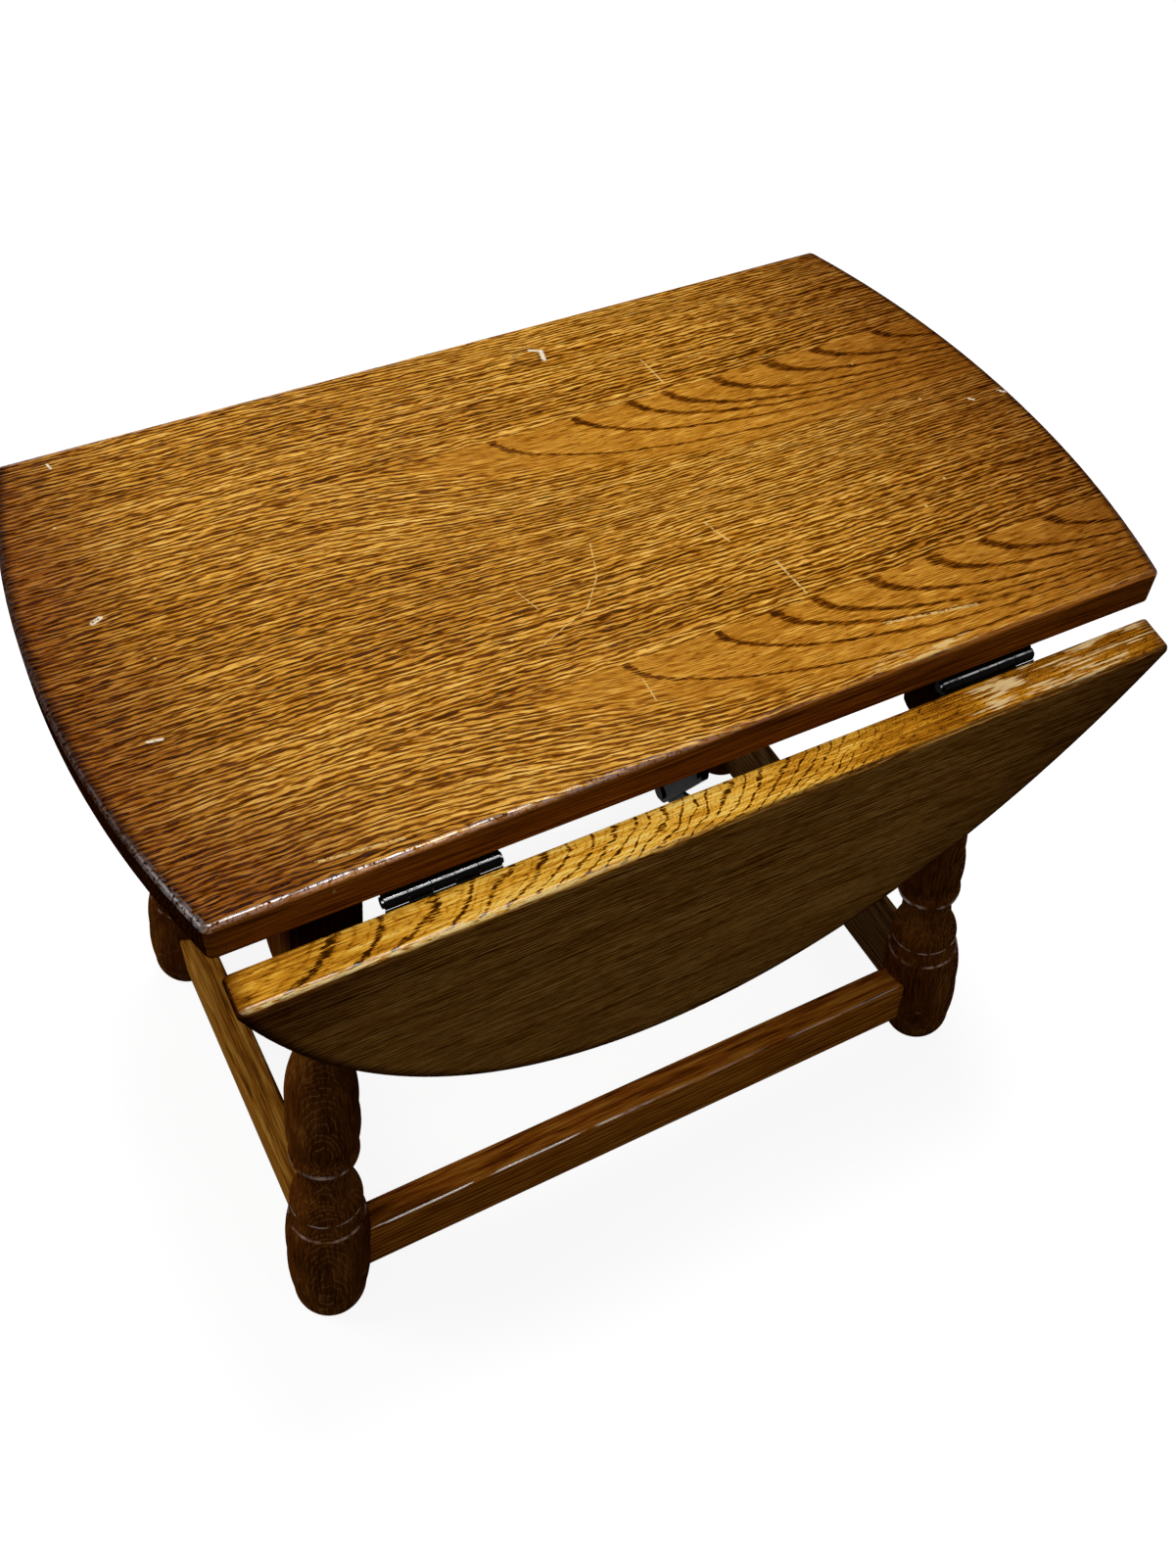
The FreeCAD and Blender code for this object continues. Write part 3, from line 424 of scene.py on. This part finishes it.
def board_grain(g, p):
    """Golden oak in glued strips: dark loops that start at each seam, rows of pores elsewhere.

    Returns its colour, where it is dark, its fibre and its large patches.
    """
    x, y, z = g.xyz(p)
    strips = (SEAM - y) / STRIP
    number = g.math("FLOOR", strips)
    below = (strips - number) * STRIP
    along = x + number * SLIP
    wander, ripple = g.sway(p, "top_wander"), g.sway(p, "top_ripple")
    deep = below + ripple * LOOP_SWELL
    start = along - deep * deep / g.remap(along, *LOOP_SPREAD)
    start = start + wander * LOOP_WANDER + ripple * LOOP_RIPPLE
    ragged = start + g.sway(p, "top_ragged") * LOOP_RAGS
    thinning = g.remap(along, *LOOP_THINNING)
    loops = g.most(*(g.remap(abs(ragged - spot) * thinning, *LOOP_EDGE) for spot in LOOPS))
    tilt = g.remap(along, *GRAIN_TILT) * g.remap(below, *TILT_FADE)
    q = g.point(along, below - tilt + wander * GRAIN_WANDER + ripple * GRAIN_RIPPLE, z)
    pores, dashes = pore_rows(g, q)
    drawn = loops * g.remap(pores, 0.36, 0.56, 0.3, 1.0) + g.remap(pores, 0.55, 0.69, 0.0, 0.55)
    looped = g.remap(start, *LOOPED)
    dark = g.blend(looped, dashes, drawn)
    fibre = g.noise(q, "top_fibre")
    patch = g.noise(p, "patches")
    tone = g.blend(looped, 0.74, 0.6) - dark * 0.6 + (fibre - 0.5) * 1.8
    tone = tone + g.sway(q, "top_bands") * g.blend(looped, 0.7, 0.25) + (patch - 0.5) * 0.16
    return g.ramp(g.clamp(tone), GOLDEN_OAK), dark, fibre, patch


def shaded_ends(g, p, colour, patch):
    """Darker towards the ends of the oval, darkest at the rim and the near left corner, by stain
    and by painted shade.

    Returns the colour with stain and painted shade, and how far out each point is: 1 on the oval.
    """
    x, y = g.xyz(p)[:2]
    oval = g.vector("LENGTH", g.point(x / OVAL_HALF_LENGTH, y / OVAL_HALF_WIDTH, 0.0))
    blur = (patch - 0.5) * STAIN_AND_SHADE_BLUR
    corner = g.vector("LENGTH", g.point(x - CORNER_X, (y - CORNER_Y) * CORNER_SQUASH, 0.0))
    # Darker towards the ends and the near left corner: stain, and painted shade
    shade = g.most(g.remap(blur - x, *LEFT_STAIN_AND_SHADE), g.remap(x + blur, *RIGHT_STAIN_AND_SHADE),
                   g.remap(corner, *CORNER_STAIN_AND_SHADE))
    colour = g.mix(shade, colour, END_STAIN_AND_SHADE, "MULTIPLY")
    # The rim darker still: end stain, and towards the right painted shade
    rim = g.most(g.remap(oval, *RIM_DARK), g.remap(oval, *RIM_BROAD) * g.remap(x, *BROAD_START))
    return g.mix(rim, colour, RIM_STAIN_AND_SHADE, "MULTIPLY"), oval


def top_oak():
    """The top: golden grain, brown long edges, marks of use, and lacquer glinting at its arris."""
    g = new_material("lacquered_oak_top")
    p = g.place()
    x, y, z = g.xyz(p)
    colour, dark, fibre, patch = board_grain(g, p)
    colour, oval = shaded_ends(g, p, colour, patch)
    edge = g.ramp(g.noise(p, "top_edge"), EDGE_OAK)
    colour = g.mix(g.remap(abs(y), *EDGE_DEPTHS), colour, edge)
    ring = abs(g.vector("DISTANCE", p, BRUISE_SPOT) - BRUISE_RADIUS)
    colour = g.mix(g.remap(ring, *BRUISE_EDGE), colour, BRUISE)
    ragged = g.noise(p, "top_wear")
    scratched = g.strokes(p, SCRATCHES) * g.remap(ragged, 0.35, 0.55)
    scratched = g.clamp(scratched + g.specks(p, SPECK_CELL, SPECK_RADIUS) * 0.9)
    chipped = g.strokes(p, CHIPS) * g.remap(ragged, 0.36, 0.44)
    upper = g.remap(z, *ARRIS_HEIGHTS)
    flaked = g.noise(p, "top_flakes") + g.remap(abs(x - FLAKED_X), *FLAKED_FADE)
    inward = y + HALF_WIDTH
    bare = upper * g.remap(flaked, 0.5, 0.58)
    bare = bare * g.remap(inward, *FLAKED_START) * g.remap(inward, *FLAKED_END)
    colour = g.mix(scratched * 0.8, colour, SCRATCHED)
    colour = g.mix(bare, colour, BARE)
    colour = g.mix(chipped, colour, CHIPPED)
    rim = g.remap(oval, *RIM_GLINT) * g.remap(y, *RIM_FADE)
    arris = g.remap(z, *GLINT_HEIGHTS) * g.remap(abs(y), *GLINT_DEPTHS)
    arris = g.most(arris, upper * g.most(rim, 0.08))
    broken = g.remap(g.noise(p, "top_lacquer"), 0.34, 0.5, 0.25, 1.0)
    broken = g.remap(ragged, 0.38, 0.5) * broken
    lacquer = arris * g.remap(x, *GLINT_FADE) * broken
    height = dark * -1.0 + fibre * 0.3 - chipped * 2.0
    return g.finish(colour, 0.3 + dark * 0.15, height, TOP_RELIEF, lacquer, TOP_LUSTRE)


def leaf_oak(name, turned):
    """Straight-grained oak of a hanging leaf, laid out with the leaf level."""
    g = new_material(name)
    p = g.place()
    if turned:
        p = g.turn(p, "Z", math.pi)
    near = level = g.turn(p, "X", -HANG, HINGE_CENTRE)
    if turned:
        level = g.turn(near, "Z", math.pi)
    x, y, z = g.xyz(near)
    q = g.point(x, y + g.sway(near, "leaf_wander") * LEAF_STRAY, z)
    streaks = g.noise(q, "leaf_streaks")
    dashes = pore_rows(g, q)[1]
    patch = g.noise(level, "patches")
    tone = 0.74 - dashes * 0.46 + (streaks - 0.5) * 2.1
    tone = tone + g.sway(q, "leaf_bands") * 0.35 + (patch - 0.5) * 0.3
    colour = shaded_ends(g, level, g.ramp(g.clamp(tone), LEAF_OAK), patch)[0]
    sawn = g.remap(y, *SAWN_DEPTHS)
    gold, worn = sawn_edge(g, near)
    colour = g.mix(sawn, colour, gold)
    return g.finish(colour, 0.4, streaks - dashes, LEAF_RELIEF, sawn * worn, LEAF_LUSTRE)


def sawn_edge(g, p):
    """A leaf's joint edge: gold, crossed by slanting dark lines that crowd together along it.

    Returns its colour and where its lacquer still shines.
    """
    x, _, z = g.xyz(p)
    rise, below = z - UNDERSIDE, TOP - z
    run = x + rise * LINE_LEAN + rise * rise * LINE_CURVE
    run = run + g.sway(p, "sawn_ripple") * LINE_RIPPLE + g.sway(p, "sawn_wander") * LINE_WANDER
    run = run + LINE_START
    line = g.remap(g.fold(run * run / LINE_AREA), 0.29, 0.47) * g.remap(x, *LINE_FADE)
    pores, dashes = g.noise(p, "sawn_pores"), g.noise(p, "sawn_dashes")
    fine = g.remap(g.fold(run * run / FINE_AREA), 0.3, 0.46, 0.0, 0.3) * g.remap(dashes, 0.4, 0.6)
    dark = g.remap(line * 0.34 + (dashes - 0.5) * 1.5, 0.12, 0.4) * 0.9
    dark = dark + g.remap(pores, 0.58, 0.68, 0.0, 0.4) + fine
    uneven = g.sway(p, "sawn_streaks")
    browned = g.remap(x, *BROWNED_RIGHT) + g.remap(x, *BROWNED_LEFT)
    tone = 0.82 - dark * 0.8 - browned + uneven * 1.5 + g.sway(p, "sawn_patches") * 0.5
    colour = g.ramp(g.clamp(tone), SAWN_OAK)
    raw = g.noise(p, "sawn_raw") + g.remap(x, *RAW_RIGHT)
    colour = g.mix(g.remap(raw + uneven * 0.5, 0.56, 0.66, 0.0, 0.85), colour, RAW_WOOD)
    # Rubbed pale along the arris: wear, and a painted highlight of its glint
    rubbed_and_glinting = g.remap(below, *RUBBED_AND_GLINT_DEPTHS) * g.remap(x, *RUBBED_AND_GLINT_FADE)
    colour = g.mix(rubbed_and_glinting * g.remap(pores, 0.36, 0.52), colour, RUBBED_GOLD_AND_GLINT)
    stained = g.remap(below, *STAINED_DEPTHS) * g.remap(x, *STAINED_START)
    colour = g.mix(stained, colour, STAINED_ARRIS)
    colour = g.mix(g.remap(abs(x), *SAWN_ENDS), colour, SAWN_END_STAIN, "MULTIPLY")
    worn = g.remap(below, *SHINE_DEPTHS) * g.remap(x, *SHINE_FADE)
    return colour, worn * g.remap(pores, 0.36, 0.5)


def turned_oak():
    """Dark stained oak of a turned leg, with ringed eyes where the turning cuts the grain."""
    g = new_material("stained_oak_leg")
    x, y, z = g.xyz(g.place())
    out_x, out_y = abs(x) - FOOT_X, abs(y) - FOOT_Y
    up = (z - (out_x + out_y) * LEAN) / math.sqrt(1 + 2 * LEAN * LEAN)
    across, deep = out_x + z * LEAN, out_y + z * LEAN
    q = g.point(up, across, deep)
    outward = across * RING_ACROSS + deep * RING_DEEP
    facing = g.remap(outward / g.vector("LENGTH", g.point(across, deep, 0.0)), 0.72, 0.96)
    stray = g.sway(q, "leg_wander") * RING_STRAY
    rings = g.fold((outward - up * RING_SLOPE + stray) / RING_WIDTH)
    streaks = g.noise(q, "leg_streaks")
    eye = g.remap(rings, 0.36, 0.48) * facing * g.remap(streaks, 0.36, 0.56)
    colour = g.ramp(g.clamp(streaks * 0.9 + g.sway(q, "leg_patches") * 0.7), LEG_OAK)
    colour = g.mix(eye * 0.5, colour, RINGED_EYE)
    # The leg's head darkened: painted shade under the top
    colour = g.mix(g.remap(up, *HEAD_SHADE_START), colour, LEG_HEAD_SHADE, "MULTIPLY")
    # Pale lines at the turned edges: rubbed wear and a painted highlight of their glints
    rubbed_and_glinting = g.most(*(g.remap(abs(up - height) / half, MARK_CORE, 1.0, 1.0, 0.0)
                      for height, half in RUBBED_AND_GLINTING_EDGES))
    rubbed_and_glinting = rubbed_and_glinting * g.remap(g.noise(q, "leg_wear"), 0.38, 0.64)
    flecks = g.remap(g.noise(q, "leg_ticks"), 0.66, 0.72) * g.remap(up, *FLECK_END)
    # Pale flecks of wear at the foot, and the painted highlight of the edges' lines
    colour = g.mix(g.most(rubbed_and_glinting * 0.6, flecks * 0.6), colour, LEG_WEAR_AND_GLINT)
    return g.finish(colour, 0.3 + streaks * 0.2, streaks * -1.0, LEG_RELIEF,
                    rubbed_and_glinting * 0.35, LEG_LUSTRE)


def bar_oak(name, local, shine, tones):
    """Straight-grained oak of a stretcher, an apron or a block. local gives the grain's own point,
    and shine is the share of lacquer left on the outer arris; it also sets the painted shade of the
    bar's top face and the painted highlight along that arris."""
    g = new_material(name)
    q = local(g, g.place())
    x, y, z = g.xyz(q)
    wander = g.sway(q, "bar_wander")
    rings = g.fold((y * BAR_ACROSS + z * BAR_UP + wander * BAR_STRAY) / BAR_RING)
    streaks = g.noise(q, "bar_streaks")
    colour = g.ramp(g.clamp(streaks * 1.5 + rings * 0.7 - 0.42 + wander * 0.4), tones)
    kept = g.remap(g.noise(q, "bar_lacquer"), 0.38, 0.54, 0.0, shine)
    below = STRETCHER_TOP - z
    lacquer = kept * g.remap(abs(y), *BAR_OUTER) * g.remap(below, *BAR_GLINT_START)
    lacquer = lacquer * g.remap(below, *BAR_GLINT_END) * g.remap(x, *BAR_GLINT_FADE)
    # The top face of a long stretcher darkened: painted shade under the table top
    top_shade = g.remap(below, *BAR_SHADE_DEPTHS) * shine
    colour = g.mix(top_shade, colour, BAR_TOP_SHADE, "MULTIPLY")
    # A pale line painted along the glinting arris: painted highlight
    colour = g.mix(lacquer * 0.7, colour, PAINTED_BAR_GLINT)
    return g.finish(colour, 0.26 + streaks * 0.2, streaks * -1.0, BAR_RELIEF,
                    lacquer, BAR_LUSTRE)


def along_x(g, p):
    """The grain's own point where it runs along x."""
    return p


def along_y(g, p):
    """The grain's own point where it runs along y."""
    x, y, z = g.xyz(p)
    return g.point(y, x, z)


def metal(name, tones, rough):
    """Blackened metal, a little uneven, with a line of polished lacquer along the hinge barrels."""
    g = new_material(name)
    p = g.place()
    y, z = g.xyz(p)[1:]
    grain = g.noise(p, "metal_grain")
    line = g.remap(abs(abs(y) - HALF_WIDTH - POLISH), *POLISH_EDGE)
    worn = g.remap(g.noise(p, "metal_wear"), 0.34, 0.52, 0.2, 1.0)
    lacquer = line * worn * g.remap(z, *POLISH_HEIGHTS)
    uneven = g.remap(grain, 0.3, 0.8, rough, rough + 0.15)
    return g.finish(g.ramp(grain, tones), uneven, grain, METAL_RELIEF,
                    lacquer, METAL_LUSTRE, METAL_GLOSS)


def dress():
    """Give each node of the part its material."""
    finishes = {
        "top_panel": top_oak(),
        "leaf_front": leaf_oak("lacquered_oak_front_leaf", False),
        "leaf_back": leaf_oak("lacquered_oak_back_leaf", True),
        "leg": turned_oak(),
        "long": bar_oak("stained_oak_long", along_x, 1.0, LONG_OAK),
        "short": bar_oak("stained_oak_short", along_y, 0.0, SHORT_OAK),
        # The right end stretcher, darker: painted shade
        "dim": bar_oak("shaded_oak_right", along_y, 0.0, PAINTED_SHADE_OAK),
        # Aprons and blocks: darker oak, partly painted shade under the top
        "frame": bar_oak("stained_oak_frame", along_x, 0.0, FRAME_OAK),
        "black_metal": metal("black_lacquer", BLACK_LACQUER, 0.2),
        "steel": metal("blackened_steel", BLACKENED_STEEL, 0.35),
    }
    slots = {entry["node"]: entry["material_slot"] for entry in record["subparts"]}
    for name, node in frame["nodes"].items():
        if name in finishes:
            chosen = name
        elif name.startswith("leg_"):
            chosen = "leg"
        elif slots[name] in finishes:
            chosen = slots[name]
        else:
            chosen = STRETCHERS.get(name, "frame")
        for slot in node.material_slots:
            slot.material = finishes[chosen]


def seen_rays(g):
    """1 for rays that come from the camera or a reflection, 0 for diffuse light."""
    path = g.node("LightPath", {})
    camera, glossy, through = (Field(g, path.outputs[name]) for name in (
        "Is Camera Ray", "Is Glossy Ray", "Is Transmission Ray"))
    return g.clamp(camera + glossy + through)


def grey(level):
    return (level, level, level, 1)


def make_floor():
    bpy.ops.mesh.primitive_circle_add(vertices=FLOOR_SIDES, radius=FLOOR_RADIUS, fill_type="NGON",
                                      location=(0, 0, -FLOOR_DROP))
    floor = bpy.context.object
    floor.name = "floor"
    g = new_material("pale_floor")
    bounce = g.node("BsdfDiffuse", {"Color": grey(FLOOR_BOUNCE)}).outputs[0]
    pale = g.node("BsdfDiffuse", {"Color": grey(FLOOR_PALE)}).outputs[0]
    strength = g.remap(g.vector("LENGTH", g.place()), *FLOOR_GLOW)
    glow = g.node("Emission", {"Color": grey(1), "Strength": strength}).outputs[0]
    shown = g.node("AddShader", {0: pale, 1: glow}).outputs[0]
    mixed = g.node("MixShader", {0: seen_rays(g), 1: bounce, 2: shown}).outputs[0]
    g.feed(g.tree.nodes["Material Output"].inputs["Surface"], mixed)
    floor.data.materials.append(g.owner)


def make_world():
    world = bpy.data.worlds.new("studio")
    bpy.context.scene.world = world
    g = Graph(world)
    background = g.tree.nodes["Background"]
    g.feed(background.inputs["Strength"], g.blend(seen_rays(g), WORLD_DIM, WORLD_WHITE))
    background.inputs["Color"].default_value = grey(1)


def make_light(name, spot, target, size, power):
    lamp = bpy.data.lights.new(name, "AREA")
    lamp.shape = "DISK"
    lamp.size = size
    lamp.energy = power
    holder = bpy.data.objects.new(name, lamp)
    bpy.context.scene.collection.objects.link(holder)
    holder.location = spot
    holder.rotation_euler = (Vector(target) - Vector(spot)).to_track_quat("-Z", "Y").to_euler()


def make_camera():
    yaw, pitch, roll = (math.radians(angle) for angle in CAMERA_ANGLES)
    level = math.cos(pitch)
    ahead = Vector((math.sin(yaw) * level, math.cos(yaw) * level, -math.sin(pitch)))
    right = Vector((math.cos(yaw), -math.sin(yaw), 0))
    up = right.cross(ahead)
    across = right * math.cos(roll) + up * math.sin(roll)
    upward = up * math.cos(roll) - right * math.sin(roll)
    lens = bpy.data.cameras.new("camera")
    lens.sensor_width = SENSOR_WIDTH
    lens.lens = FOCAL_LENGTH
    camera = bpy.data.objects.new("camera", lens)
    bpy.context.scene.collection.objects.link(camera)
    turned = Matrix((across, upward, -ahead)).transposed().to_4x4()
    camera.matrix_world = Matrix.Translation(CAMERA_SPOT) @ turned
    bpy.context.scene.camera = camera


make_camera()
for lamp_values in LAMPS:
    make_light(*lamp_values)
make_world()
make_floor()
dress()
bpy.context.scene.view_settings.view_transform = "Standard"

bpy.context.view_layer.update()
